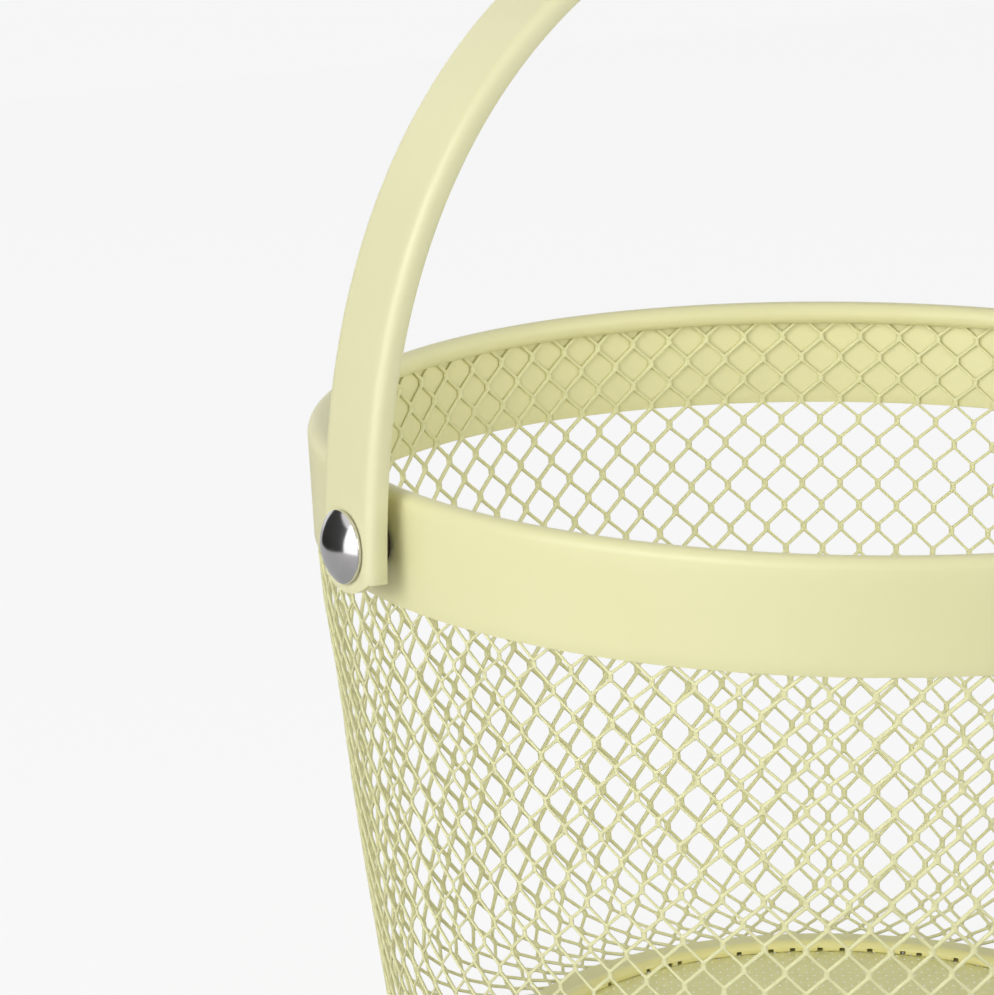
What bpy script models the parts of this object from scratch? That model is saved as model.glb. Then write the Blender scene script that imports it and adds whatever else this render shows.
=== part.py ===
# Metal mesh basket with a swing handle.
# Metres, +Z up. The origin is on the table, under the middle of the basket.
# The handle swings about an axis along X, through two rivets in the rim band.

import bisect
import math

import bmesh
import bpy
from mathutils import Matrix, Vector

# Whole basket
rim_radius = 0.120
rim_height = 0.150
fit_gap = 0.0003
cut_overrun = 0.002
merge_distance = 0.000001
ring_segments = 64

# Rim band, a strip whose upper edge is rolled inward into a bead
band_height = 0.025
band_taper = 0.0013
band_sheet = 0.0008
bead_diameter = 0.0052
bead_turn_degrees = 285
bead_steps = 9

# Wall of expanded metal, a coarse lattice here. Its heel turns in to a flat rim round the base ring
wall_sheet = 0.0011
wall_bar = 0.0026
wall_columns = 24
wall_lattice_steps = 8
wall_floor_width = 0.0035
wall_foot_lift = 0.0005
heel_height = 0.0185
heel_lean_degrees = 10.8
heel_lattice_steps = 3
# Each pair is how far down and how far in the wall has come, from the band's foot to the heel
wall_drop_inset_shares = (
    (0.0, 0.0),
    (0.05, 0.018),
    (0.10, 0.048),
    (0.15, 0.096),
    (0.20, 0.156),
    (0.25, 0.217),
    (0.35, 0.322),
    (0.45, 0.410),
    (0.55, 0.502),
    (0.65, 0.604),
    (0.75, 0.712),
    (0.88, 0.860),
    (1.0, 1.0),
)

# Base ring, pressed from sheet, with a raised lip round its opening
base_ring_radius = 0.078
base_ring_height = 0.0032
base_ring_sheet = 0.0008
base_ring_bend = 0.0012
base_lip_inset = 0.0087
base_lip_half_width = 0.0017
base_lip_rise = 0.0012
base_bend_steps = 2
base_lip_steps = 4

# Base mesh, a flat disc under the ring, with a plain grid of openings
base_mesh_inset = 0.004
base_mesh_sheet = 0.0011
base_mesh_bar = 0.0055
base_mesh_edge = 0.0045
base_grid_count = 11

# Handle, a strip with folded edges, bent to a squarish arch
handle_width = 0.0205
handle_sheet = 0.0012
handle_flange_depth = 0.0045
handle_corner_radius = 0.0023
handle_corner_steps = 3
handle_stand_off = 0.0082
handle_rise = 0.1404
handle_centre_drop = 0.0143
handle_power_share = 0.86
handle_steps = 48
arch_steps = 384
flange_reach = 0.0064
tongue_reach = 0.0099
tongue_radius = 0.0143
tongue_arc_steps = 14

# Pivot rivets, with a spacer outside the band and a washer inside the wall
pivot_drop = 0.0120
rivet_head_radius = 0.0078
rivet_dome_height = 0.0030
rivet_edge = 0.0009
rivet_shank_radius = 0.0025
rivet_tail_radius = 0.0042
rivet_tail_height = 0.0014
rivet_segments = 28
rivet_dome_steps = 6
spacer_radius = 0.0055
washer_radius = 0.0060
washer_sheet = 0.0010

# Places that follow from the sizes
bead_radius = bead_diameter / 2
pivot_height = rim_height - pivot_drop
bore_radius = rivet_shank_radius + fit_gap
ring_inside = band_sheet + fit_gap
wall_segments = 2 * wall_columns
wall_flat_share = math.cos(math.pi / wall_segments)
handle_half_span = rim_radius + handle_stand_off
base_lip_radius = base_ring_radius - base_lip_inset
base_mesh_radius = base_ring_radius - base_mesh_inset

coat_colour = (0.79, 0.77, 0.47, 1.0)
base_colour = (0.66, 0.65, 0.36, 1.0)
steel_colour = (0.62, 0.61, 0.60, 1.0)
dark_steel_colour = (0.10, 0.09, 0.08, 1.0)


def clear_scene():
    for old in list(bpy.data.objects):
        bpy.data.objects.remove(old, do_unlink=True)


def collection(name):
    made = bpy.data.collections.new(name)
    bpy.context.scene.collection.children.link(made)
    return made


def material(name, colour, roughness, metallic):
    made = bpy.data.materials.new(name)
    made.use_nodes = True
    shader = made.node_tree.nodes["Principled BSDF"]
    shader.inputs["Base Color"].default_value = colour
    shader.inputs["Roughness"].default_value = roughness
    shader.inputs["Metallic"].default_value = metallic
    made.diffuse_color = colour
    return made


def add_object(name, mesh, home, finish=None):
    made = bpy.data.objects.new(name, mesh)
    home.objects.link(made)
    if finish:
        mesh.materials.append(finish)
    return made


def add_cutter(name, mesh, home):
    made = add_object(name, mesh, home)
    made.hide_render = True
    made.display_type = "WIRE"
    return made


def polyline_mesh(name, points):
    bm = bmesh.new()
    verts = [bm.verts.new(point) for point in points]
    for start, end in zip(verts, verts[1:]):
        bm.edges.new((start, end))
    mesh = bpy.data.meshes.new(name)
    bm.to_mesh(mesh)
    bm.free()
    return mesh


def cylinder_mesh(name, radius, length, segments, turn=None):
    bm = bmesh.new()
    bmesh.ops.create_cone(
        bm, cap_ends=True, segments=segments, radius1=radius, radius2=radius, depth=length
    )
    if turn:
        bmesh.ops.transform(bm, matrix=turn, verts=bm.verts)
    mesh = bpy.data.meshes.new(name)
    bm.to_mesh(mesh)
    bm.free()
    return mesh


def smooth_round(mesh, angle_degrees=40):
    mesh.shade_smooth()
    mesh.set_sharp_from_angle(angle=math.radians(angle_degrees))


def arc(centre, radius, start_degrees, end_degrees, steps):
    """Points on a circle round centre, as (across, up)."""
    points = []
    for step in range(steps + 1):
        angle = math.radians(start_degrees + (end_degrees - start_degrees) * step / steps)
        points.append((centre[0] + radius * math.cos(angle), centre[1] + radius * math.sin(angle)))
    return points


def turn_profile(name, outline, home, finish, segments):
    """A ring turned about Z from an outline of (radius, height) points."""
    mesh = polyline_mesh(name, [(radius, 0.0, height) for radius, height in outline])
    made = add_object(name, mesh, home, finish)
    screw = made.modifiers.new("turn", "SCREW")
    screw.axis = "Z"
    screw.steps = segments
    screw.render_steps = segments
    screw.merge_threshold = merge_distance
    screw.use_smooth_shade = True
    return made


def thicken(obj, sheet):
    wall = obj.modifiers.new("sheet", "SOLIDIFY")
    wall.thickness = sheet
    wall.offset = 0.0
    wall.use_even_offset = True
    return wall


def cut(obj, cutter, name):
    boolean = obj.modifiers.new(name, "BOOLEAN")
    boolean.operation = "DIFFERENCE"
    boolean.solver = "EXACT"
    boolean.object = cutter
    return boolean


def baked_mesh(obj, name):
    """The object's mesh with its modifiers applied."""
    graph = bpy.context.evaluated_depsgraph_get()
    mesh = bpy.data.meshes.new_from_object(obj.evaluated_get(graph))
    mesh.name = name
    return mesh


# Rim band
def band_outside(height):
    """Outer radius of the band at a height."""
    top = rim_height - bead_radius
    down = (top - height) / (band_height - bead_radius)
    return rim_radius - band_taper * max(down, 0.0)


def make_rim_band(home, finish, bore):
    foot = rim_height - band_height
    curl = (bead_diameter - band_sheet) / 2
    outline = arc((rim_radius - bead_radius, rim_height - bead_radius), curl,
                  bead_turn_degrees, 0, bead_steps)
    outline.append((band_outside(foot) - band_sheet / 2, foot))
    band = turn_profile("rim_band", outline, home, finish, ring_segments)
    thicken(band, band_sheet)
    cut(band, bore, "pivot bore")


# Wall
def inset_share_at(drop_share):
    """How far in the wall has come, where it has come down by a share of its drop."""
    for (drop, inset), (next_drop, next_inset) in zip(wall_drop_inset_shares, wall_drop_inset_shares[1:]):
        if drop_share <= next_drop:
            return inset + (next_inset - inset) * (drop_share - drop) / (next_drop - drop)
    return next_inset


def wall_outline():
    """Mid line of the wall as (radius, height): its top, the lattice's rings and the floor's edge."""
    inside = ring_inside + wall_sheet / 2
    top = rim_height - bead_diameter - fit_gap
    foot = rim_height - band_height
    foot_radius = band_outside(foot) - inside
    floor = wall_foot_lift + wall_sheet / 2
    floor_start = (base_ring_radius + fit_gap) / wall_flat_share
    lean = math.radians(heel_lean_degrees)
    bend = (heel_height - floor) / (1 - math.sin(lean))
    centre = (floor_start + wall_floor_width, floor + bend)
    heel_mid = centre[0] + bend * math.cos(lean)
    points = [(band_outside(top) - inside, top)]
    for step in range(wall_lattice_steps + 1):
        drop_share = step / wall_lattice_steps
        radius = foot_radius + (heel_mid - foot_radius) * inset_share_at(drop_share)
        points.append((radius, foot + (heel_height - foot) * drop_share))
    points += arc(centre, bend, -heel_lean_degrees, -90, heel_lattice_steps)[1:]
    points.append((floor_start, floor))
    return points


def wall_inside(height):
    """Inner radius of the wall behind the band, at the flats of its sides."""
    return (band_outside(height) - ring_inside - wall_sheet) * wall_flat_share


def open_cells(bm, cells, bar):
    """Opens each cell, leaving bars of a given width between them."""
    bmesh.ops.inset_individual(bm, faces=cells, thickness=bar / 2, use_even_offset=True)
    bmesh.ops.delete(bm, geom=cells, context="FACES")


def make_diamonds(bm, rings):
    """Turns the quads between the rings into diamonds, two rows high, and returns them."""
    ring_of = {vert: index for index, ring in enumerate(rings) for vert in ring}
    borders = ({0}, {len(rings) - 1})

    def is_node(vert):
        column = round(math.atan2(vert.co.y, vert.co.x) / (2 * math.pi) * wall_segments)
        return (column + ring_of[vert]) % 2 == 0

    quads = [face for face in bm.faces if all(vert in ring_of for vert in face.verts)]
    sides = {edge for face in quads for edge in face.edges}
    inner = [edge for edge in sides if {ring_of[vert] for vert in edge.verts} not in borders]
    for face in quads:
        bmesh.utils.face_split(face, *[vert for vert in face.verts if is_node(vert)])
    bmesh.ops.dissolve_edges(bm, edges=inner, use_verts=True)
    return [face for face in bm.faces if all(vert in ring_of for vert in face.verts)]


def lattice_mesh(name, outline):
    """A turned shell, closed along its two edges and open in diamonds between them."""
    bm = bmesh.new()
    radius, height = outline[0]
    bmesh.ops.create_circle(bm, segments=wall_segments, radius=radius)
    bmesh.ops.translate(bm, verts=bm.verts, vec=(0.0, 0.0, height))
    rings = [list(bm.verts)]
    edges = list(bm.edges)
    for next_radius, next_height in outline[1:]:
        grown = bmesh.ops.extrude_edge_only(bm, edges=edges)["geom"]
        ring = [item for item in grown if isinstance(item, bmesh.types.BMVert)]
        share = next_radius / radius
        bmesh.ops.scale(bm, verts=ring, vec=(share, share, 1.0))
        bmesh.ops.translate(bm, verts=ring, vec=(0.0, 0.0, next_height - height))
        edges = [edge for edge in bm.edges if all(vert in ring for vert in edge.verts)]
        rings.append(ring)
        radius, height = next_radius, next_height
    cells = make_diamonds(bm, rings[1:-1])
    open_cells(bm, cells, wall_bar)
    bmesh.ops.recalc_face_normals(bm, faces=bm.faces)
    mesh = bpy.data.meshes.new(name)
    bm.to_mesh(mesh)
    bm.free()
    return mesh


def make_wall(home, finish, bore):
    mesh = lattice_mesh("wall_mesh", wall_outline())
    mesh.shade_smooth()
    wall = add_object("wall_mesh", mesh, home, finish)
    thicken(wall, wall_sheet)
    cut(wall, bore, "pivot bore")


# Base ring and base mesh
def make_base_ring(home, finish):
    half = base_ring_sheet / 2
    level = base_ring_height - half
    bend = base_ring_bend - half
    side = base_ring_radius - half
    outline = [(side, 0.0)]
    outline += arc((side - bend, level - bend), bend, 0, 90, base_bend_steps)
    for step in range(base_lip_steps + 1):
        along = step / base_lip_steps
        rise = base_lip_rise * math.sin(math.pi * along)
        across = base_lip_half_width * math.cos(math.pi * along)
        outline.append((base_lip_radius + across, level + rise))
    ring = turn_profile("base_ring", outline, home, finish, ring_segments)
    thicken(ring, base_ring_sheet)


def grid_cutter(name, home):
    """Square pegs on a grid, as many as lie within the edge of the base mesh."""
    reach = base_mesh_radius - base_mesh_edge
    bm = bmesh.new()
    bmesh.ops.create_grid(bm, x_segments=base_grid_count, y_segments=base_grid_count, size=base_mesh_radius)
    outer = [face for face in bm.faces if max(vert.co.length for vert in face.verts) > reach]
    bmesh.ops.delete(bm, geom=outer, context="FACES")
    pegs = list(bm.faces)
    bars = bmesh.ops.inset_individual(bm, faces=pegs, thickness=base_mesh_bar / 2, use_even_offset=True)
    bmesh.ops.delete(bm, geom=bars["faces"], context="FACES")
    mesh = bpy.data.meshes.new(name)
    bm.to_mesh(mesh)
    bm.free()
    cutter = add_cutter(name, mesh, home)
    thicken(cutter, base_mesh_sheet + 2 * cut_overrun)
    return cutter


def make_base_mesh(home, cutters, finish):
    top = base_ring_height - base_ring_sheet - fit_gap
    mesh = cylinder_mesh("base_mesh", base_mesh_radius, base_mesh_sheet, ring_segments)
    disc = add_object("base_mesh", mesh, home, finish)
    disc.location = (0.0, 0.0, top - base_mesh_sheet / 2)
    grid = grid_cutter("base_grid", cutters)
    grid.location = disc.location
    cut(disc, grid, "grid")


# Handle
def arch_path():
    """Outer line of the handle as (x, 0, z), from the left end over the top to the right end."""
    centre = rim_height - handle_centre_drop
    left = [Vector((-handle_half_span, 0.0, min(centre, pivot_height) - handle_width))]
    for step in range(arch_steps + 1):
        angle = math.pi / 2 * step / arch_steps
        across = handle_half_span * max(math.cos(angle), 0.0) ** handle_power_share
        rise = handle_rise * math.sin(angle) ** handle_power_share
        left.append(Vector((-across, 0.0, centre + rise)))
    right = [Vector((-point.x, 0.0, point.z)) for point in reversed(left[:-1])]
    return left + right


def path_lengths(path):
    """Distance of each path point from the path's start."""
    lengths = [0.0]
    for start, end in zip(path, path[1:]):
        lengths.append(lengths[-1] + (end - start).length)
    return lengths


def path_directions(path):
    """Direction of the path at each of its points."""
    last = len(path) - 1
    return [
        (path[min(index + 1, last)] - path[max(index - 1, 0)]).normalized()
        for index in range(len(path))
    ]


def face_at(height):
    """How far out the handle's outer face is at a height on its leg."""
    path = arch_path()
    for start, end in zip(path, path[1:]):
        if end.z >= height:
            return -start.lerp(end, (height - start.z) / (end.z - start.z)).x
    return handle_half_span


def pivot_from_middle(path, lengths):
    """Length of strip from the top of the arch down to the pivot."""
    index = next(i for i, point in enumerate(path) if point.z >= pivot_height)
    start, end = path[index - 1], path[index]
    share = (pivot_height - start.z) / (end.z - start.z)
    along = lengths[index - 1] + (lengths[index] - lengths[index - 1]) * share
    return lengths[-1] / 2 - along


def bend_strip(mesh, path, lengths):
    """Takes the flat strip's points (along, across, up) to their places on the arch."""
    directions = path_directions(path)
    for vertex in mesh.vertices:
        along = lengths[-1] / 2 + vertex.co.x
        index = max(1, min(bisect.bisect(lengths, along), len(path) - 1))
        share = (along - lengths[index - 1]) / (lengths[index] - lengths[index - 1])
        place = path[index - 1].lerp(path[index], share)
        run = directions[index - 1].lerp(directions[index], share).normalized()
        outward = Vector((-run.z, 0.0, run.x))
        across = vertex.co.y
        vertex.co = place + outward * vertex.co.z
        vertex.co.y = across
        vertex.co.z -= pivot_height


def strip_section():
    """Mid line of the channel section as (across, up), with the outer face at zero."""
    half = handle_sheet / 2
    side = handle_width / 2 - half
    bend = handle_corner_radius - half
    left = arc((-side + bend, -half - bend), bend, 180, 90, handle_corner_steps)
    right = [(-across, up) for across, up in reversed(left)]
    return [(-side, -handle_flange_depth)] + left + right + [(side, -handle_flange_depth)]


def end_cutter(name, pivot_at, home):
    """Cuts the strip's end to a rounded tongue, and its folded edges off short of it."""
    centre = tongue_reach - tongue_radius
    spread = math.degrees(math.acos((flange_reach - centre) / tongue_radius))
    wide = handle_width / 2 + cut_overrun
    beyond = tongue_reach + cut_overrun
    outline = [(flange_reach, -wide)]
    outline += arc((centre, 0.0), tongue_radius, -spread, spread, tongue_arc_steps)
    outline += [(flange_reach, wide), (beyond, wide), (beyond, -wide)]
    curve = bpy.data.curves.new(name, "CURVE")
    curve.dimensions = "2D"
    curve.fill_mode = "BOTH"
    curve.extrude = handle_flange_depth + cut_overrun
    spline = curve.splines.new("POLY")
    spline.points.add(len(outline) - 1)
    for point, (along, across) in zip(spline.points, outline):
        point.co = (along, across, 0.0, 1.0)
    spline.use_cyclic_u = True
    guide = bpy.data.objects.new(name, curve)
    home.objects.link(guide)
    mesh = baked_mesh(guide, name)
    bpy.data.objects.remove(guide)
    bm = bmesh.new()
    bm.from_mesh(mesh)
    bmesh.ops.remove_doubles(bm, verts=bm.verts, dist=merge_distance)
    bmesh.ops.recalc_face_normals(bm, faces=bm.faces)
    bm.to_mesh(mesh)
    bm.free()
    cutter = add_cutter(name, mesh, home)
    cutter.location = (pivot_at, 0.0, 0.0)
    if pivot_at < 0:
        cutter.rotation_euler = (0.0, 0.0, math.pi)
    return cutter


def flat_channel(name, reach, home):
    """The strip with its edges folded, before it is bent, along X from -reach to reach."""
    section = [(-reach, across, up) for across, up in strip_section()]
    strip = add_object(name, polyline_mesh(name, section), home)
    bm = bmesh.new()
    bm.from_mesh(strip.data)
    edges = list(bm.edges)
    for _ in range(handle_steps):
        grown = bmesh.ops.extrude_edge_only(bm, edges=edges)["geom"]
        edges = [item for item in grown if isinstance(item, bmesh.types.BMEdge)]
        moved = [item for item in grown if isinstance(item, bmesh.types.BMVert)]
        bmesh.ops.translate(bm, verts=moved, vec=(2 * reach / handle_steps, 0.0, 0.0))
        edges = [edge for edge in edges if all(vert in moved for vert in edge.verts)]
    bmesh.ops.recalc_face_normals(bm, faces=bm.faces)
    bm.to_mesh(strip.data)
    bm.free()
    thicken(strip, handle_sheet)
    return strip


def make_handle(home, cutters, finish):
    path = arch_path()
    lengths = path_lengths(path)
    pivot_at = pivot_from_middle(path, lengths)
    strip = flat_channel("flat_strip", pivot_at + tongue_reach + cut_overrun / 2, cutters)
    tools = [strip]
    for side, end in ((-1, "left"), (1, "right")):
        tongue = end_cutter(f"tongue_cutter_{end}", side * pivot_at, cutters)
        cut(strip, tongue, f"tongue {end}")
        deep = 2 * (handle_flange_depth + cut_overrun)
        mesh = cylinder_mesh(f"handle_bore_{end}", bore_radius, deep, rivet_segments)
        bore = add_cutter(f"handle_bore_{end}", mesh, cutters)
        bore.location = (side * pivot_at, 0.0, 0.0)
        cut(strip, bore, f"bore {end}")
        tools += [tongue, bore]
    bpy.context.view_layer.update()
    mesh = baked_mesh(strip, "handle")
    bend_strip(mesh, path, lengths)
    for tool in tools:
        bpy.data.objects.remove(tool)
    smooth_round(mesh)
    handle = add_object("handle", mesh, home, finish)
    handle.location = (0.0, 0.0, pivot_height)


# Rivets, spacers and washers
def rivet_outline(stack):
    """Half outline of the rivet as (radius, height), its head on top and zero under the head."""
    sphere = (rivet_head_radius ** 2 + rivet_dome_height ** 2) / (2 * rivet_dome_height)
    low = math.degrees(math.asin((sphere - rivet_dome_height) / sphere))
    centre = (0.0, rivet_edge + rivet_dome_height - sphere)
    outline = arc(centre, sphere, 90, low, rivet_dome_steps)
    outline += [(rivet_head_radius, 0.0), (rivet_shank_radius, 0.0)]
    outline += [(rivet_shank_radius, -stack), (rivet_tail_radius, -stack)]
    tail_edge = -stack - rivet_tail_height / 2
    outline += [(rivet_tail_radius, tail_edge)]
    outline += [(rivet_tail_radius / 2, -stack - rivet_tail_height), (0.0, -stack - rivet_tail_height)]
    return outline


def sleeve(name, radius, length, centre_x, home, finish, bore):
    turn = Matrix.Rotation(math.pi / 2, 4, "Y")
    mesh = cylinder_mesh(name, radius, length, rivet_segments, turn)
    smooth_round(mesh)
    made = add_object(name, mesh, home, finish)
    made.location = (centre_x, 0.0, pivot_height)
    cut(made, bore, "rivet bore")
    return made


def make_pivots(home, finishes, bore):
    head_under = face_at(pivot_height - rivet_head_radius) + fit_gap
    spacer_out = face_at(pivot_height + spacer_radius) - handle_sheet - fit_gap
    spacer_in = band_outside(pivot_height + spacer_radius) + fit_gap
    wall_low = wall_inside(pivot_height - washer_radius)
    washer_out = math.sqrt(wall_low ** 2 - washer_radius ** 2) - fit_gap
    washer_in = washer_out - washer_sheet
    stack = head_under - washer_in + fit_gap
    for side, end in ((-1, "left"), (1, "right")):
        rivet = turn_profile(f"rivet_{end}", rivet_outline(stack), home, finishes["steel"],
                             rivet_segments)
        rivet.modifiers["turn"].use_merge_vertices = True
        rivet.location = (side * head_under, 0.0, pivot_height)
        rivet.rotation_euler = (0.0, side * math.pi / 2, 0.0)
        sleeve(f"spacer_{end}", spacer_radius, spacer_out - spacer_in,
               side * (spacer_out + spacer_in) / 2, home, finishes["dark"], bore)
        sleeve(f"washer_{end}", washer_radius, washer_sheet,
               side * (washer_out + washer_in) / 2, home, finishes["steel"], bore)


def main():
    clear_scene()
    home = collection("metal_basket")
    cutters = collection("cutters")
    coat = material("pale_yellow_coat", coat_colour, 0.45, 0.0)
    finishes = {
        "steel": material("polished_steel", steel_colour, 0.12, 1.0),
        "dark": material("dark_steel", dark_steel_colour, 0.4, 1.0),
    }
    make_handle(home, cutters, coat)
    turn = Matrix.Rotation(math.pi / 2, 4, "Y")
    length = 2 * (handle_half_span + cut_overrun)
    bore = add_cutter("pivot_bore", cylinder_mesh("pivot_bore", bore_radius, length,
                                                  rivet_segments, turn), cutters)
    bore.location = (0.0, 0.0, pivot_height)
    make_rim_band(home, coat, bore)
    make_wall(home, coat, bore)
    base = material("base_coat", base_colour, 0.5, 0.0)
    make_base_ring(home, base)
    make_base_mesh(home, cutters, base)
    make_pivots(home, finishes, bore)


main()
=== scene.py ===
import math

import bpy
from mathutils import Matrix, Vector, kdtree


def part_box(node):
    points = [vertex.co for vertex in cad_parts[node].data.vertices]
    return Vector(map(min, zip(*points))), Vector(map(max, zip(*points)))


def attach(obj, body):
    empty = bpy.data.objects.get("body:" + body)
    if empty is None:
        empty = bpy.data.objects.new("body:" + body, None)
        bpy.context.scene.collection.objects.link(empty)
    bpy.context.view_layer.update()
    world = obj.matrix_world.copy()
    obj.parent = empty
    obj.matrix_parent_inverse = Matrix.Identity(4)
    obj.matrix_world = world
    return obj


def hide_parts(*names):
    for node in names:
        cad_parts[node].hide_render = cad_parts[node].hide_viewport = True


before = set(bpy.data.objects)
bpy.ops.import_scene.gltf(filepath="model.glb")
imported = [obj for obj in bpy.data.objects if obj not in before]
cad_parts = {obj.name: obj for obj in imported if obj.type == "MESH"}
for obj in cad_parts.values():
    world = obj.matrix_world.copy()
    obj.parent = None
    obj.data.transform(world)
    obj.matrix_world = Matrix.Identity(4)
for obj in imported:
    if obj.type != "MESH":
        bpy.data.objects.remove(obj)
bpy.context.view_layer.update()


# Wall. Expanded steel sheet, slit and pulled open into diamonds, rolled into a tapering tube
# whose heel turns in under the basket. The whole basket is then powder coated pale yellow.
rim_radius = 0.120
rim_height = 0.150
band_height = 0.025
band_taper = 0.0013
band_sheet = 0.0008
bead_radius = 0.0026

mesh_columns = 80
mesh_half_row = 0.00513
mesh_bond = 0.0012
mesh_row_height = 0.0593
mesh_rows_above = 18
mesh_rows_below = 8
mesh_strand = 0.00102
mesh_corner = 0.00018
mesh_bond_swell = 0.00032
mesh_weld = 0.00035
mesh_twist = 0.58
mesh_twist_steps = 7
mesh_twist_heights = (0.006, 0.020, 0.1215, 0.1240)
mesh_band_lift = 0.0003
mesh_top = 0.1451
mesh_heel_turn = 0.0052
heel_steps = 32
mesh_near_angle = math.radians(-121.93)
mesh_roll_drift = math.radians(1.20)
mesh_roll_spread = math.radians(0.83)
mesh_roll_lean = 0.029
mesh_roll_stretch = 0.41
mesh_roll_slant = 0.45
mesh_roll_gather = 0.30
mesh_row_growth = 0.0004
mesh_even_height = 0.12
foot_lift = 0.0005
heel_height = 0.0185
heel_lean = math.radians(10.8)
floor_radius = 0.0783
floor_width = 0.0035
wall_drop_inset_shares = (
    (0.0, 0.0), (0.05, 0.018), (0.10, 0.048), (0.15, 0.096), (0.20, 0.156),
    (0.25, 0.217), (0.35, 0.322), (0.45, 0.410), (0.55, 0.502), (0.65, 0.604),
    (0.75, 0.712), (0.88, 0.860), (1.0, 1.0),
)


def start_clean():
    """Leaves edit mode and selects nothing."""
    if bpy.context.mode != "OBJECT":
        bpy.ops.object.mode_set(mode="OBJECT")
    bpy.ops.object.select_all(action="DESELECT")


def pick(piece, kind, wanted):
    """Selects only the faces or edges of the piece that are wanted, and opens edit mode."""
    bpy.ops.object.mode_set(mode="EDIT")
    bpy.ops.mesh.select_mode(type=kind)
    bpy.ops.mesh.select_all(action="DESELECT")
    bpy.ops.object.mode_set(mode="OBJECT")
    parts = piece.data.edges if kind == "EDGE" else piece.data.polygons
    for part in parts:
        part.select = wanted(part)
    bpy.ops.object.mode_set(mode="EDIT")


def settle(piece, smooth_degrees=35):
    """Leaves the piece at the origin, unturned, and rounded by its normals."""
    bpy.ops.object.mode_set(mode="OBJECT")
    bpy.ops.object.transform_apply(location=True, rotation=True, scale=True)
    bpy.ops.object.shade_smooth_by_angle(angle=math.radians(smooth_degrees))
    return piece


def finish_with(piece, kind, **settings):
    """Adds a modifier, sets it and applies it."""
    modifier = piece.modifiers.new(kind.lower(), kind)
    for setting, value in settings.items():
        setattr(modifier, setting, value)
    bpy.ops.object.modifier_apply(modifier=modifier.name)


def turned(name, outline, around, twists=()):
    """Extrudes a circle ring by ring along an outline of (radius, height) points."""
    start_clean()
    radius, height = outline[0]
    bpy.ops.mesh.primitive_circle_add(vertices=around, radius=radius, location=(0, 0, height))
    piece = bpy.context.object
    piece.name = name
    bpy.ops.object.mode_set(mode="EDIT")
    bpy.ops.mesh.select_mode(type="VERT")
    bpy.ops.mesh.select_all(action="SELECT")
    for ring, (next_radius, next_height) in enumerate(outline[1:]):
        centre = (0, 0, next_height)
        grow = next_radius / radius
        bpy.ops.mesh.extrude_region_move(TRANSFORM_OT_translate={"value": (0, 0, next_height - height)})
        bpy.ops.transform.resize(value=(grow, grow, 1), center_override=centre)
        if ring in twists:
            bpy.ops.transform.rotate(value=math.pi / around, orient_axis="Z", center_override=centre)
        radius, height = next_radius, next_height
    bpy.ops.mesh.select_all(action="SELECT")
    bpy.ops.mesh.normals_make_consistent(inside=False)
    bpy.ops.object.mode_set(mode="OBJECT")
    bpy.ops.object.transform_apply(location=True, rotation=True, scale=True)
    return piece


def band_outside(height):
    """Outer radius of the rim band at a height."""
    down = (rim_height - bead_radius - height) / (band_height - bead_radius)
    return rim_radius - band_taper * max(down, 0.0)


def wall_line():
    """Mid line of the wall as (radius, height) points, from the top down to the base ring."""
    inside = band_sheet + mesh_weld
    foot = rim_height - band_height
    floor = foot_lift + mesh_strand / 2
    bend = (heel_height - floor) / (1 - math.sin(heel_lean))
    centre = (floor_radius + floor_width, floor + bend)
    heel = centre[0] + bend * math.cos(heel_lean)
    top = mesh_row_height + (mesh_rows_above + 1) * mesh_half_row
    line = [(band_outside(top) - band_sheet, top), (band_outside(foot) - band_sheet, foot)]
    for drop_share, inset_share in wall_drop_inset_shares[1:]:
        start = band_outside(foot) - inside
        line.append((start + (heel - start) * inset_share, foot + (heel_height - foot) * drop_share))
    for step in range(1, heel_steps + 1):
        angle = -heel_lean - (math.pi / 2 - heel_lean) * step / heel_steps
        line.append((centre[0] + bend * math.cos(angle), centre[1] + bend * math.sin(angle)))
    line.append((floor_radius - band_sheet, floor))
    return line


def along_line(line, distance):
    """The point of a line at a distance from its start."""
    for (r0, z0), (r1, z1) in zip(line, line[1:]):
        length = math.hypot(r1 - r0, z1 - z0)
        if distance <= length:
            share = distance / length
            return r0 + (r1 - r0) * share, z0 + (z1 - z0) * share
        distance -= length
    return line[-1]


def distance_down(line, height):
    """How far along the line it first comes down to a height."""
    gone = 0.0
    for (r0, z0), (r1, z1) in zip(line, line[1:]):
        if z1 <= height:
            return gone + (z0 - height) / (z0 - z1) * math.hypot(r1 - r0, z1 - z0)
        gone += math.hypot(r1 - r0, z1 - z0)
    return gone


def diamond_rings(line):
    """How far down the wall the rings of bond ends lie, two to a row of diamonds."""
    whole = sum(math.dist(start, end) for start, end in zip(line, line[1:]))
    rows = []
    for row in range(mesh_rows_above, -mesh_rows_below - 1, -1):
        height = mesh_row_height + row * mesh_half_row
        sag = max(mesh_even_height - height, 0.0) / (mesh_even_height / 2)
        rows.append(distance_down(line, height - mesh_row_growth * sag ** 2))
    while rows[-1] + mesh_heel_turn < whole:
        rows.append(rows[-1] + mesh_heel_turn)
    rings = []
    for row in rows:
        rings += [row - mesh_bond / 2, min(row + mesh_bond / 2, whole)]
    return rings


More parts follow.
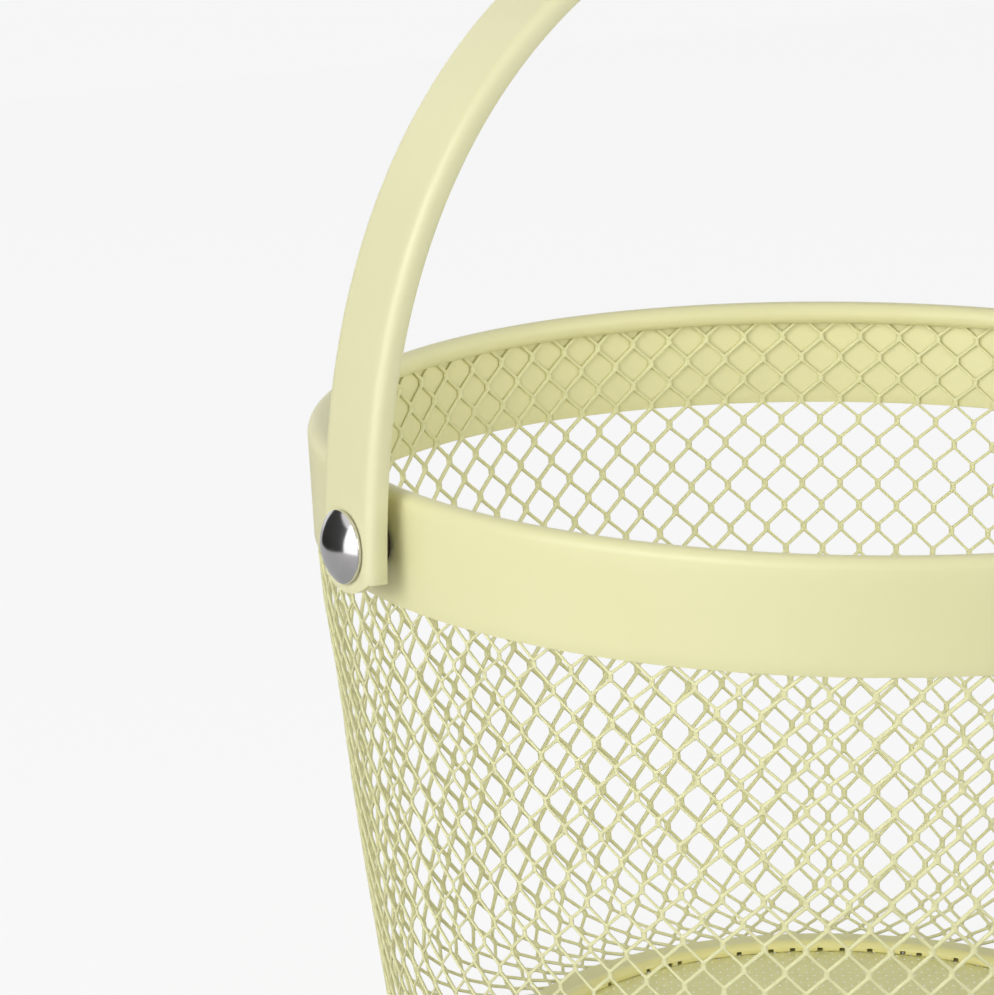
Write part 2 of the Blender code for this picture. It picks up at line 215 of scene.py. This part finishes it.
def open_diamonds(wall, last_ring):
    """Dissolves the edges that cross the openings, which leaves the middle lines of the strands."""
    bpy.ops.object.mode_set(mode="EDIT")
    bpy.ops.mesh.select_all(action="SELECT")
    bpy.ops.mesh.quads_convert_to_tris(quad_method="SHORTEST_DIAGONAL")

    def spare(edge):
        first, second = (index // mesh_columns for index in edge.vertices)
        if first == second:
            return 0 < first < last_ring
        leaning = edge.vertices[0] % mesh_columns != edge.vertices[1] % mesh_columns
        return min(first, second) % 2 == 0 and leaning

    pick(wall, "EDGE", spare)
    bpy.ops.mesh.dissolve_edges(use_verts=False)
    bpy.ops.object.mode_set(mode="OBJECT")


def roll_up(wall, line, rings):
    """Turns the mesh to its place, with its rows drawn a little unevenly towards the far side."""
    for vertex in wall.data.vertices:
        angle = math.atan2(vertex.co.y, vertex.co.x) - math.pi / 2 + mesh_near_angle
        far = (1 - math.cos(angle - mesh_near_angle)) / 2
        side = math.sin(angle - mesh_near_angle)
        below = max(mesh_even_height - vertex.co.z, 0.0)
        ring = rings[vertex.index // mesh_columns]
        room = min(1.0, (rings[-1] - ring) / band_height)
        stretch = mesh_roll_stretch * below ** 2 * (1 - mesh_roll_slant * side)
        radius, height = along_line(line, ring + stretch * far * room)
        angle += far * (mesh_roll_drift - mesh_roll_lean * below / radius)
        angle -= far ** 2 * side * (mesh_roll_spread - mesh_roll_gather * below)
        vertex.co = (radius * math.cos(angle), radius * math.sin(angle), height)


def swell_bonds(wall, bonds):
    """Widens and lengthens the mesh round each bond, where two strands lie together."""
    nearest = kdtree.KDTree(len(bonds))
    for number, (low, high) in enumerate(bonds):
        nearest.insert((low + high) / 2, number)
    nearest.balance()
    for vertex in wall.data.vertices:
        middle, number, gap = nearest.find(vertex.co)
        low, high = bonds[number]
        up = (high - low).normalized()
        around = Vector((-middle.y, middle.x, 0)).normalized()
        aside = (vertex.co - middle).dot(around)
        along = (vertex.co - middle).dot(up)
        if abs(aside) > mesh_strand / 4 and gap < mesh_strand:
            vertex.co += around * math.copysign(mesh_bond_swell, aside)
            vertex.co += up * math.copysign(mesh_bond_swell, along)


def twist_strands(wall, middles):
    """Turns the face of each strand to one side, as slitting leaves it, and draws it inward at the band."""
    nearest = kdtree.KDTree(len(middles) * mesh_twist_steps)
    for number, (start, end) in enumerate(middles):
        for step in range(mesh_twist_steps):
            nearest.insert(start.lerp(end, (step + 0.5) / mesh_twist_steps), number)
    nearest.balance()
    bottom, low, high, top = mesh_twist_heights
    strand_runs = [(end - start).normalized() for start, end in middles]
    for vertex in wall.data.vertices:
        point, number, gap = nearest.find(vertex.co)
        run = strand_runs[number]
        off = vertex.co - point
        off -= run * off.dot(run)
        out = Vector((vertex.co.x, vertex.co.y, 0)).normalized()
        height = vertex.co.z
        share = min(max((height - bottom) / (low - bottom), 0.0), 1.0)
        inside = min(max((height - high) / (top - high), 0.0), 1.0)
        turn = mesh_twist * share * off.dot(Vector((-out.y, out.x, 0)))
        vertex.co += out * (turn - inside * mesh_band_lift)


def make_wall_mesh():
    line = wall_line()
    rings = diamond_rings(line)
    outline = [along_line(line, ring) for ring in rings]
    wall = turned("wall_mesh", outline, mesh_columns, twists=range(1, len(rings), 2))
    open_diamonds(wall, len(rings) - 1)
    roll_up(wall, line, rings)
    bpy.ops.object.mode_set(mode="EDIT")
    bpy.ops.mesh.select_all(action="SELECT")
    bpy.ops.mesh.bisect(plane_co=(0, 0, mesh_top), plane_no=(0, 0, 1), clear_outer=True)
    bpy.ops.object.mode_set(mode="OBJECT")
    ends = [[wall.data.vertices[index].co.copy() for index in edge.vertices] for edge in wall.data.edges]
    bonds = [(low, high) for low, high in ends if (high - low).length < 1.5 * mesh_bond]
    finish_with(wall, "WIREFRAME", thickness=mesh_strand, use_even_offset=True, use_boundary=True)
    finish_with(wall, "BEVEL", width=mesh_corner, segments=1, limit_method="ANGLE",
                angle_limit=math.radians(40))
    twist_strands(wall, ends)
    swell_bonds(wall, bonds)
    return settle(wall, 80)


class Amount:
    """What one socket of a finish gives, with sums written as Python."""

    def __init__(self, finish, socket):
        self.finish = finish
        self.socket = socket

    def maths(self, operation, first, second):
        return self.finish.node("ShaderNodeMath", {"operation": operation}, {0: first, 1: second})

    def __add__(self, other):
        return self.maths("ADD", self, other)

    def __radd__(self, other):
        return self.maths("ADD", other, self)

    def __sub__(self, other):
        return self.maths("SUBTRACT", self, other)

    def __rsub__(self, other):
        return self.maths("SUBTRACT", other, self)

    def __mul__(self, other):
        return self.maths("MULTIPLY", self, other)

    def __rmul__(self, other):
        return self.maths("MULTIPLY", other, self)


class Finish:
    """A material in the making: its nodes, and the shader that they feed."""

    def __init__(self, name, constants):
        self.material = bpy.data.materials.new(name)
        self.material.use_nodes = True
        self.tree = self.material.node_tree
        self.shader = self.tree.nodes["Principled BSDF"]
        for socket, value in constants.items():
            self.shader.inputs[socket].default_value = value

    def node(self, kind, settings, sockets, output=0):
        made = self.tree.nodes.new(kind)
        for setting, value in settings.items():
            setattr(made, setting, value)
        for socket, value in sockets.items():
            self.join(made.inputs[socket], value)
        return Amount(self, made.outputs[output])

    def join(self, socket, value):
        if isinstance(value, Amount):
            self.tree.links.new(value.socket, socket)
        else:
            socket.default_value = value

    def place(self):
        return self.node("ShaderNodeTexCoord", {}, {}, "Object")

    def noise(self, scale, detail=2.0):
        return self.node("ShaderNodeTexNoise", {}, {"Vector": self.place(), "Scale": scale, "Detail": detail})

    def blend(self, share, first, second):
        return self.node("ShaderNodeMix", {"data_type": "RGBA"}, {"Factor": share, 6: first, 7: second}, 2)

    def bump(self, height, strength, distance):
        return self.node("ShaderNodeBump", {}, {"Height": height, "Strength": strength, "Distance": distance})

    def feed(self, varying):
        for socket, value in varying.items():
            self.join(self.shader.inputs[socket], value)
        return self.material


coat_depth = 0.00012


def powder_coat(name, pale, deep, roughness=0.36, grain=0.10):
    """Smooth satin powder coat: faint orange peel, and a tone that drifts a little."""
    coat = Finish(name, {"IOR": 1.5})
    drift = coat.noise(38.0, 3.0)
    peel = coat.noise(950.0, 1.0)
    swell = coat.noise(210.0, 2.0)
    colour = coat.blend(drift * 0.9 + peel * 0.12 - 0.02, pale, deep)
    gloss = roughness - 0.05 + drift * 0.06 + peel * 0.04
    skin = coat.bump(peel * 0.5 + swell * 0.9, grain, coat_depth)
    return coat.feed({"Base Color": colour, "Roughness": gloss, "Normal": skin})


mesh_pale = (0.820, 0.800, 0.468, 1)
mesh_deep = (0.778, 0.764, 0.408, 1)
mesh_coat = powder_coat("mesh_powder_coat", mesh_pale, mesh_deep, roughness=0.34, grain=0.16)

wall_mesh = make_wall_mesh()
wall_mesh.data.materials.append(mesh_coat)
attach(wall_mesh, "basket")
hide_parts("wall_mesh")


# Rim band. A strip of sheet steel rolled round the top of the mesh and spot welded to it,
# its upper edge curled inward into a bead that is safe to the hand.
band_around = 256
bead_sheet_middle = bead_radius - band_sheet / 2
bead_turn = math.radians(285)
bead_steps = 26
band_rows = 8
band_edge = 0.0002
band_pale = (0.835, 0.803, 0.465, 1)
band_deep = (0.802, 0.772, 0.420, 1)


def make_rim_band():
    middle = (rim_radius - bead_radius, rim_height - bead_radius)
    outline = []
    for step in range(bead_steps + 1):
        angle = bead_turn * (1 - step / bead_steps)
        outline.append((middle[0] + bead_sheet_middle * math.cos(angle),
                        middle[1] + bead_sheet_middle * math.sin(angle)))
    for step in range(1, band_rows + 1):
        height = middle[1] - (band_height - bead_radius) * step / band_rows
        outline.append((band_outside(height) - band_sheet / 2, height))
    band = turned("rim_band", outline, band_around)
    finish_with(band, "SOLIDIFY", thickness=band_sheet, offset=0.0, use_even_offset=True)
    finish_with(band, "BEVEL", width=band_edge, segments=2, limit_method="ANGLE",
                angle_limit=math.radians(50))
    return settle(band, 40)


rim_band = make_rim_band()
band_coat = powder_coat("band_powder_coat", band_pale, band_deep)
rim_band.data.materials.append(band_coat)
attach(rim_band, "basket")
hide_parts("rim_band")


# Base mesh. A disc cut from a finer expanded sheet, laid under the base ring,
# with its openings almost closed by the coat.
base_mesh_radius = 0.074
base_mesh_top = 0.0021
base_mesh_sheet = 0.00048
base_cell_wide = 0.0034
base_cell_deep = 0.0046
base_strand = 0.0023
base_turn = math.radians(-30.7)
base_pale = (0.815, 0.785, 0.378, 1)
base_deep = (0.780, 0.755, 0.335, 1)


def make_base_mesh():
    start_clean()
    middle = (0, 0, base_mesh_top - base_mesh_sheet / 2)
    across = math.ceil(2 * base_mesh_radius / base_cell_wide)
    deep = math.ceil(2 * base_mesh_radius / base_cell_deep)
    bpy.ops.mesh.primitive_grid_add(x_subdivisions=across, y_subdivisions=deep, size=1,
                                    location=middle, rotation=(0, 0, base_turn))
    disc = bpy.context.object
    disc.name = "base_mesh"
    disc.scale = (across * base_cell_wide, deep * base_cell_deep, 1)
    bpy.ops.object.transform_apply(location=True, rotation=True, scale=True)
    squares = len(disc.data.vertices)
    bpy.ops.object.mode_set(mode="EDIT")
    bpy.ops.mesh.select_all(action="SELECT")
    bpy.ops.mesh.poke()
    pick(disc, "EDGE", lambda edge: max(edge.vertices) < squares)
    bpy.ops.mesh.dissolve_edges(use_verts=False)
    pick(disc, "FACE", lambda face: face.center.xy.length > base_mesh_radius - base_cell_wide)
    bpy.ops.mesh.delete(type="FACE")
    bpy.ops.object.mode_set(mode="OBJECT")
    finish_with(disc, "WIREFRAME", thickness=base_strand, use_even_offset=True, use_boundary=True)
    bpy.ops.object.mode_set(mode="EDIT")
    bpy.ops.mesh.select_all(action="SELECT")
    bpy.ops.transform.resize(value=(1, 1, base_mesh_sheet / base_strand), center_override=middle)
    return settle(disc, 80)


base_mesh = make_base_mesh()
base_coat = powder_coat("base_powder_coat", base_pale, base_deep, grain=0.2)
base_mesh.data.materials.append(base_coat)
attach(base_mesh, "basket")
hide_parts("base_mesh")


# Base ring. Pressed sheet steel, with a skirt that the basket stands on and a raised lip
# round its opening, whose foot is notched here and there and rests on the base mesh.
ring_radius = 0.078
ring_height = 0.0032
ring_sheet = 0.0008
ring_bend = 0.0012
ring_edge = 0.00018
ring_shoulder = 0.002
ring_bend_steps = 6
lip_radius = 0.0693
lip_half_width = 0.0017
lip_rise = 0.0012
lip_foot = 0.0022
lip_shoulder = 0.001
lip_steps = 12
notch_top = 0.0029
notch_angles = (
    32.4, 40.2, 42.9, 50.5, 55.8, 60.2, 65.3, 70.1, 77.5, 81.0, 90.1, 92.8, 98.5, 109.7, 121.0, 131.5,
    134.0, 146.0, 155.5, 167.0, 177.5, 180.5, 192.0, 203.5, 214.0, 216.8, 229.0, 238.5, 251.0, 262.5,
    265.5, 277.0, 288.0, 299.5, 302.0, 313.5, 324.0, 335.0, 338.0, 349.5,
)
ring_around = 320
# Painted shade: the ring's coat is given darker and yellower than the band's, for the shade that the walls
# leave on the basket's floor.
ring_shaded_pale = (0.775, 0.750, 0.400, 1)
ring_shaded_deep = (0.745, 0.720, 0.360, 1)
# Painted light: a brighter, yellower tone for the inner side of the lip, standing in for yellow light bounced
# onto it.
ring_lip_bounce_light = (0.84, 0.785, 0.35, 1)


def make_base_ring():
    half = ring_sheet / 2
    level = ring_height - half
    bend = ring_bend - half
    side = ring_radius - half
    outline = [(side, 0.0)]
    for step in range(ring_bend_steps + 1):
        angle = math.pi / 2 * step / ring_bend_steps
        outline.append((side - bend + bend * math.cos(angle), level - bend + bend * math.sin(angle)))
    outline += [(side - bend - ring_shoulder, level), (lip_radius + lip_half_width + lip_shoulder, level)]
    for step in range(lip_steps + 1):
        turn = math.pi * step / lip_steps
        outline.append((lip_radius + lip_half_width * math.cos(turn), level + lip_rise * math.sin(turn)))
    outline[-1] = (lip_radius - lip_half_width, notch_top)
    ring = turned("base_ring", outline + [(lip_radius - lip_half_width, lip_foot)], ring_around)

    def notched(face):
        angle = math.degrees(math.atan2(face.center.y, face.center.x)) % 360
        low = face.center.z < notch_top and face.center.xy.length < lip_radius
        return low and any(abs(angle - notch) < 180 / ring_around for notch in notch_angles)

    pick(ring, "FACE", notched)
    bpy.ops.mesh.delete(type="FACE")
    bpy.ops.object.mode_set(mode="OBJECT")
    finish_with(ring, "SOLIDIFY", thickness=ring_sheet, offset=0.0, use_even_offset=True)
    finish_with(ring, "BEVEL", width=ring_edge, segments=2, limit_method="ANGLE",
                angle_limit=math.radians(50))
    return settle(ring, 40)


def ring_coat():
    """Powder coat, painted darker and yellower than the band's for the shade on the basket's floor, and
    brighter and yellower still on the inner side of the lip and in the corner under it, for yellow light
    bounced there.
    """
    coat = Finish("ring_powder_coat", {"IOR": 1.5})
    drift = coat.noise(38.0, 3.0)
    peel = coat.noise(950.0, 1.0)
    reach = coat.node("ShaderNodeVectorMath", {"operation": "LENGTH"}, {0: coat.place()}, "Value")
    lip_light_share = coat.node("ShaderNodeMapRange", {}, {"Value": reach, "From Min": lip_radius - lip_half_width / 2,
                                                  "From Max": lip_radius + lip_half_width / 2,
                                                  "To Min": 1.0, "To Max": 0.0})
    plain = coat.blend(drift, ring_shaded_pale, ring_shaded_deep)
    # Painted light: the inner side of the lip, and the corner under it, take the brighter, yellower tone.
    colour = coat.blend(lip_light_share * (0.75 + drift * 0.5), plain, ring_lip_bounce_light)
    skin = coat.bump(peel, 0.10, coat_depth)
    return coat.feed({"Base Color": colour, "Roughness": 0.36 + drift * 0.06, "Normal": skin})


base_ring = make_base_ring()
base_ring.data.materials.append(ring_coat())
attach(base_ring, "basket")
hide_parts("base_ring")


# Handle. A strip of steel with both edges folded in, bent to a squarish arch.
# Each end is cut to a round tongue that turns on a rivet.
handle_width = 0.0205
handle_sheet = 0.0012
handle_flange = 0.0045
handle_corner = 0.0023
handle_half_span = 0.1282
handle_rise = 0.1404
handle_drop = 0.0143
handle_centre = rim_height - handle_drop
handle_power = 0.86
handle_rows = 180
handle_columns = 16
fold_steps = 5
flange_reach = 0.0064
tongue_reach = 0.0099
tongue_radius = 0.0143
pivot_height = 0.138
bore_radius = 0.0028
handle_edge = 0.00028
arch_steps = 384
handle_pale = (0.820, 0.795, 0.490, 1)
handle_deep = (0.790, 0.765, 0.450, 1)


def arch_line():
    """Outer line of the handle as (x, z) points, from the left end over the top to the right."""
    left = [(-handle_half_span, min(handle_centre, pivot_height) - handle_width)]
    for step in range(arch_steps + 1):
        angle = math.pi / 2 * step / arch_steps
        across = handle_half_span * max(math.cos(angle), 0.0) ** handle_power
        left.append((-across, handle_centre + handle_rise * math.sin(angle) ** handle_power))
    return left + [(-x, z) for x, z in reversed(left[:-1])]


def lengths_along(line):
    """How far along the line each of its points lies."""
    lengths = [0.0]
    for start, end in zip(line, line[1:]):
        lengths.append(lengths[-1] + math.dist(start, end))
    return lengths


def pivot_reach(line, lengths):
    """How far along the strip each pivot lies from the middle of the handle."""
    crossing = next(i for i, point in enumerate(line) if point[1] >= pivot_height)
    (x0, z0), (x1, z1) = line[crossing - 1:crossing + 1]
    share = (pivot_height - z0) / (z1 - z0)
    return lengths[-1] / 2 - lengths[crossing - 1] - (lengths[crossing] - lengths[crossing - 1]) * share


def fold_edges(strip, flat):
    """Extrudes both long edges of the strip round a corner and down, and turns its faces up."""
    near = handle_sheet / 4
    for side in (-1, 1):
        def on_border(edge):
            return all(abs(strip.data.vertices[i].co.y - side * flat) < near for i in edge.vertices)

        pick(strip, "EDGE", on_border)
        last = (0.0, 0.0)
        for step in range(1, fold_steps + 1):
            angle = math.pi / 2 * step / fold_steps
            place = (handle_corner * math.sin(angle), handle_corner * (math.cos(angle) - 1))
            move = (0, side * (place[0] - last[0]), place[1] - last[1])
            bpy.ops.mesh.extrude_region_move(TRANSFORM_OT_translate={"value": move})
            last = place
        for step in range(2):
            drop = (handle_flange - handle_corner) / 2
            bpy.ops.mesh.extrude_region_move(TRANSFORM_OT_translate={"value": (0, 0, -drop)})
        bpy.ops.object.mode_set(mode="OBJECT")
    bpy.ops.object.mode_set(mode="EDIT")
    bpy.ops.mesh.select_all(action="SELECT")
    bpy.ops.mesh.normals_make_consistent(inside=False)
    bpy.ops.object.mode_set(mode="OBJECT")
    if strip.data.polygons[0].normal.z < 0:
        strip.data.flip_normals()


def bore_pivots(strip, pivot_at):
    """Bores the strip for the two rivets."""
    for side in (-1, 1):
        bpy.ops.object.select_all(action="DESELECT")
        bpy.ops.mesh.primitive_cylinder_add(vertices=32, radius=bore_radius, depth=4 * handle_flange,
                                            location=(side * pivot_at, 0, 0))
        drill = bpy.context.object
        bpy.context.view_layer.objects.active = strip
        finish_with(strip, "BOOLEAN", operation="DIFFERENCE", solver="EXACT", object=drill)
        bpy.data.objects.remove(drill)


def bend_to_arch(strip, line, lengths):
    """Lays the flat strip along the arch, its outer face on the line."""
    place = 0
    for vertex in strip.data.vertices:
        along = lengths[-1] / 2 + vertex.co.x
        while place and lengths[place] > along:
            place -= 1
        while place < len(line) - 2 and lengths[place + 1] < along:
            place += 1
        share = (along - lengths[place]) / (lengths[place + 1] - lengths[place])
        (x0, z0), (x1, z1) = line[place:place + 2]
        before, after = line[max(place - 1, 0)], line[min(place + 2, len(line) - 1)]
        run = Vector((x1 - before[0], z1 - before[1])).normalized().lerp(
            Vector((after[0] - x0, after[1] - z0)).normalized(), share).normalized()
        up = vertex.co.z
        vertex.co.x = x0 + (x1 - x0) * share - run.y * up
        vertex.co.z = z0 + (z1 - z0) * share + run.x * up


def make_handle():
    line = arch_line()
    lengths = lengths_along(line)
    pivot_at = pivot_reach(line, lengths)
    reach = pivot_at + tongue_reach
    flat = handle_width / 2 - handle_corner

    start_clean()
    bpy.ops.mesh.primitive_grid_add(x_subdivisions=handle_rows, y_subdivisions=handle_columns, size=1)
    strip = bpy.context.object
    strip.name = "handle"
    strip.scale = (2 * reach, 2 * flat, 1)
    bpy.ops.object.transform_apply(location=True, rotation=True, scale=True)
    fold_edges(strip, flat)
    for vertex in strip.data.vertices:
        round_end = math.sqrt(tongue_radius ** 2 - vertex.co.y ** 2) - tongue_radius + tongue_reach
        vertex.co.x *= (pivot_at + max(flange_reach, round_end)) / reach
    finish_with(strip, "SOLIDIFY", thickness=handle_sheet, offset=-1.0, use_even_offset=True)
    bore_pivots(strip, pivot_at)
    finish_with(strip, "BEVEL", width=handle_edge, segments=2, limit_method="ANGLE",
                angle_limit=math.radians(55))
    bend_to_arch(strip, line, lengths)
    strip.select_set(True)
    return settle(strip, 35)


handle = make_handle()
handle_coat = powder_coat("handle_powder_coat", handle_pale, handle_deep)
handle.data.materials.append(handle_coat)
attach(handle, "handle")
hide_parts("handle")


# Pivots. On each side a polished domed rivet passes through the handle, a spacer painted near black
# for the shade it sits in, and the rim band, and is closed over a washer inside the mesh.
rivet_head_radius = 0.0078
rivet_dome = 0.0030
rivet_edge = 0.0009
rivet_edge_swell = 0.00005
rivet_seat_radius = 0.0077
rivet_shank_radius = 0.0025
set_end_radius = 0.0042
set_end_corner_radius = 0.0036
set_end_flat_radius = 0.0020
set_end_height = 0.0014
rivet_around = 96
dome_steps = 24
spacer_radius = 0.0055
washer_radius = 0.0060
sleeve_bore = 0.0028
sleeve_edge_share = 0.06
sleeve_around = 64
same_place = 0.000001


def sideways(piece, side, reach):
    """Lays a piece that was turned about Z along X, at a reach from the middle."""
    start_clean()
    piece.select_set(True)
    bpy.context.view_layer.objects.active = piece
    piece.rotation_euler = (0, side * math.pi / 2, 0)
    piece.location = (side * reach, 0, pivot_height)
    return settle(piece, 30)


def close_ends(piece):
    """Fills the first and last ring of a turned piece."""
    bpy.ops.object.mode_set(mode="EDIT")
    bpy.ops.mesh.select_mode(type="EDGE")
    bpy.ops.mesh.select_all(action="DESELECT")
    bpy.ops.mesh.select_non_manifold()
    bpy.ops.mesh.edge_face_add()
    bpy.ops.mesh.select_all(action="SELECT")
    bpy.ops.mesh.normals_make_consistent(inside=False)
    bpy.ops.object.mode_set(mode="OBJECT")


def make_rivet(end, side):
    low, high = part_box(f"rivet_{end}")
    outer = high.x if side > 0 else -low.x
    inner = low.x if side > 0 else -high.x
    under = outer - rivet_dome - rivet_edge
    sphere = (rivet_head_radius ** 2 + rivet_dome ** 2) / (2 * rivet_dome)
    centre = rivet_dome + rivet_edge - sphere
    widest = math.asin(rivet_head_radius / sphere)
    outline = []
    for step in range(1, dome_steps + 1):
        angle = widest * step / dome_steps
        outline.append((sphere * math.sin(angle), centre + sphere * math.cos(angle)))
    outline += [(rivet_head_radius + rivet_edge_swell, rivet_edge * 0.7),
                (rivet_head_radius + rivet_edge_swell * 0.4, rivet_edge * 0.3)]
    outline += [(rivet_seat_radius, 0.0), (rivet_shank_radius, 0.0)]
    tail = inner - under
    outline += [(rivet_shank_radius, tail + set_end_height), (set_end_radius, tail + set_end_height)]
    outline += [(set_end_radius, tail + set_end_height * 0.5),
                (set_end_corner_radius, tail + set_end_height * 3 / 14), (set_end_flat_radius, tail)]
    rivet = turned(f"rivet_{end}", outline, rivet_around)
    close_ends(rivet)
    return sideways(rivet, side, under)


def make_sleeve(name, side, radius):
    low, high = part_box(name)
    length = high.x - low.x
    edge = min(length, radius) * sleeve_edge_share
    outline = [(radius - edge, 0.0), (radius, edge), (radius, length - edge), (radius - edge, length),
               (sleeve_bore, length), (sleeve_bore, 0.0)]
    sleeve = turned(name, outline + outline[:1], sleeve_around)
    start_clean()
    sleeve.select_set(True)
    bpy.context.view_layer.objects.active = sleeve
    bpy.ops.object.mode_set(mode="EDIT")
    bpy.ops.mesh.select_all(action="SELECT")
    bpy.ops.mesh.remove_doubles(threshold=same_place)
    bpy.ops.mesh.normals_make_consistent(inside=False)
    bpy.ops.object.mode_set(mode="OBJECT")
    return sideways(sleeve, side, min(abs(low.x), abs(high.x)))


steel_bright = (0.70, 0.69, 0.69, 1)
steel_dull = (0.60, 0.585, 0.59, 1)
# Painted shade: the spacer's steel is given near black and brown, for the deep shade in the gap between the
# handle and the band.
spacer_shade_brown = (0.10, 0.08, 0.06, 1)
spacer_shade_black = (0.045, 0.035, 0.028, 1)
steel_depth = 0.00005


def polished_steel():
    steel = Finish("polished_steel", {"Metallic": 1.0})
    haze = steel.noise(420.0, 3.0)
    fine = steel.noise(2600.0, 1.0)
    colour = steel.blend(haze, steel_bright, steel_dull)
    skin = steel.bump(haze + fine * 0.3, 0.05, steel_depth)
    return steel.feed({"Base Color": colour, "Roughness": 0.10 + haze * 0.09, "Normal": skin})


# Painted shade: near-black, brownish steel for the spacer, standing in for the shade it sits in.
def dark_steel():
    steel = Finish("dark_steel", {"Metallic": 1.0})
    haze = steel.noise(500.0, 3.0)
    colour = steel.blend(haze, spacer_shade_brown, spacer_shade_black)
    skin = steel.bump(haze, 0.2, steel_depth)
    return steel.feed({"Base Color": colour, "Roughness": 0.35 + haze * 0.15, "Normal": skin})


steel_finish = polished_steel()
shade_painted_finish = dark_steel()
for end, side in (("left", -1), ("right", 1)):
    rivet = make_rivet(end, side)
    spacer = make_sleeve(f"spacer_{end}", side, spacer_radius)
    washer = make_sleeve(f"washer_{end}", side, washer_radius)
    for piece, finish, slot in ((rivet, steel_finish, "steel"), (spacer, shade_painted_finish, "dark_steel"),
                                (washer, steel_finish, "steel")):
        node = piece.name.split(".")[0]
        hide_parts(node)
        piece.data.materials.append(finish)
        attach(piece, "basket")


# Studio. A pale floor and backdrop, a large soft light on the left, a weaker one on the right,
# one overhead, a small one inside the basket, and three cards that only the reflections show.
backdrop_white = 0.93
floor_share = 0.82
floor_glow = 1.05
floor_grey = (0.70, 0.70, 0.70, 1)
floor_size = 12
floor_drop = 0.0002
white = (1, 1, 1, 1)
card_black = (0.01, 0.01, 0.01, 1)
sky = (0.97, 0.98, 1.0, 1)
sky_strength = 0.95
basket_middle = (0, 0, 0.12)


class Room(Finish):
    """The world round the basket, made of nodes as a finish is."""

    def __init__(self, name):
        world = bpy.data.worlds.new(name)
        world.use_nodes = True
        bpy.context.scene.world = world
        self.tree = world.node_tree


def seen_plainly(finish):
    """One for the rays that show the backdrop as it is, nought for those that light the basket."""
    camera, glossy, through = [finish.node("ShaderNodeLightPath", {}, {}, f"Is {ray} Ray")
                               for ray in ("Camera", "Glossy", "Transmission")]
    return camera.maths("MAXIMUM", camera.maths("MAXIMUM", camera, glossy), through)


def studio_world():
    room = Room("studio")
    way = room.node("ShaderNodeTexCoord", {}, {}, "Generated")
    up = room.node("ShaderNodeSeparateXYZ", {}, {0: way}, 2)
    strength = room.node("ShaderNodeMapRange", {"interpolation_type": "SMOOTHSTEP"}, {
        "Value": up, "From Min": 0.25, "From Max": 0.80, "To Min": sky_strength, "To Max": 0.0})
    light = room.node("ShaderNodeBackground", {}, {"Color": sky, "Strength": strength})
    backdrop = room.node("ShaderNodeBackground", {}, {"Color": white, "Strength": backdrop_white})
    both = room.node("ShaderNodeMixShader", {}, {0: seen_plainly(room), 1: light, 2: backdrop})
    room.join(room.tree.nodes["World Output"].inputs["Surface"], both)


def studio_floor():
    start_clean()
    bpy.ops.mesh.primitive_plane_add(size=floor_size, location=(0, 0, -floor_drop))
    floor = bpy.context.object
    floor.name = "studio_floor"
    paint = Finish("pale_floor", {"Base Color": floor_grey, "Roughness": 0.7})
    glow = paint.node("ShaderNodeEmission", {}, {"Color": white, "Strength": floor_glow})
    share = seen_plainly(paint) * floor_share
    plain = Amount(paint, paint.shader.outputs[0])
    both = paint.node("ShaderNodeMixShader", {}, {0: share, 1: plain, 2: glow})
    paint.join(paint.tree.nodes["Material Output"].inputs["Surface"], both)
    floor.data.materials.append(paint.material)


def soft_light(name, place, aim, width, height, power, colour=white[:3]):
    lamp = bpy.data.lights.new(name, "AREA")
    lamp.shape = "RECTANGLE"
    lamp.size, lamp.size_y = width, height
    lamp.energy = power
    lamp.color = colour
    holder = bpy.data.objects.new(name, lamp)
    bpy.context.scene.collection.objects.link(holder)
    holder.location = place
    holder.rotation_euler = (Vector(aim) - Vector(place)).to_track_quat("-Z", "Y").to_euler()
    holder.visible_camera = False


def mirror_card(name, place, tilt, turn, width, height, glow):
    """A card that only reflections see."""
    start_clean()
    bpy.ops.mesh.primitive_plane_add(size=1, location=place,
                                     rotation=(math.radians(tilt), 0, math.radians(turn)))
    card = bpy.context.object
    card.name = name
    card.scale = (width, height, 1)
    paint = Finish(name, {"Base Color": card_black, "Emission Color": white, "Emission Strength": glow})
    card.data.materials.append(paint.material)
    card.visible_camera = False
    card.visible_diffuse = False
    card.visible_shadow = False
    card.visible_transmission = False


studio_world()
studio_floor()
mirror_card("dark_card", (-0.276, 0.153, 0.180), 90, 43, 0.35, 0.205, 0.0)
mirror_card("white_card", (-0.58, -0.22, 0.16), 90, -64, 0.72, 0.32, 1.6)
mirror_card("grey_card", (-0.30, 0, -0.0001), 0, 0, 2.4, 2.4, 0.42)
soft_light("key_light", (-1.52, -0.47, 0.74), basket_middle, 1.2, 1.0, 14.8)
soft_light("fill_light", (0.86, -1.48, 0.68), basket_middle, 1.2, 1.0, 5.2)
soft_light("top_light", (0, 0, 1.9), basket_middle, 1.5, 1.5, 5)
soft_light("inside_light", (0, 0, 0.135), (0.057, 0.082, 0.137), 0.16, 0.03, 0.018, (1.0, 1.0, 0.9))


# Camera. It looks down a little on the left of the basket, as the photograph does.
camera_place = (-0.6485, -0.9379, 0.4259)
camera_look = (0.4946, 0.8323, -0.2505)
camera_lens = 192.685


def photo_camera():
    camera = bpy.data.cameras.new("photo_camera")
    camera.lens = camera_lens
    camera.sensor_width = 36.0
    camera.sensor_fit = "HORIZONTAL"
    camera.clip_start, camera.clip_end = 0.05, 50
    holder = bpy.data.objects.new("photo_camera", camera)
    bpy.context.scene.collection.objects.link(holder)
    holder.location = camera_place
    holder.rotation_euler = Vector(camera_look).to_track_quat("-Z", "Y").to_euler()
    bpy.context.scene.camera = holder


photo_camera()
bpy.context.scene.view_settings.view_transform = "Standard"
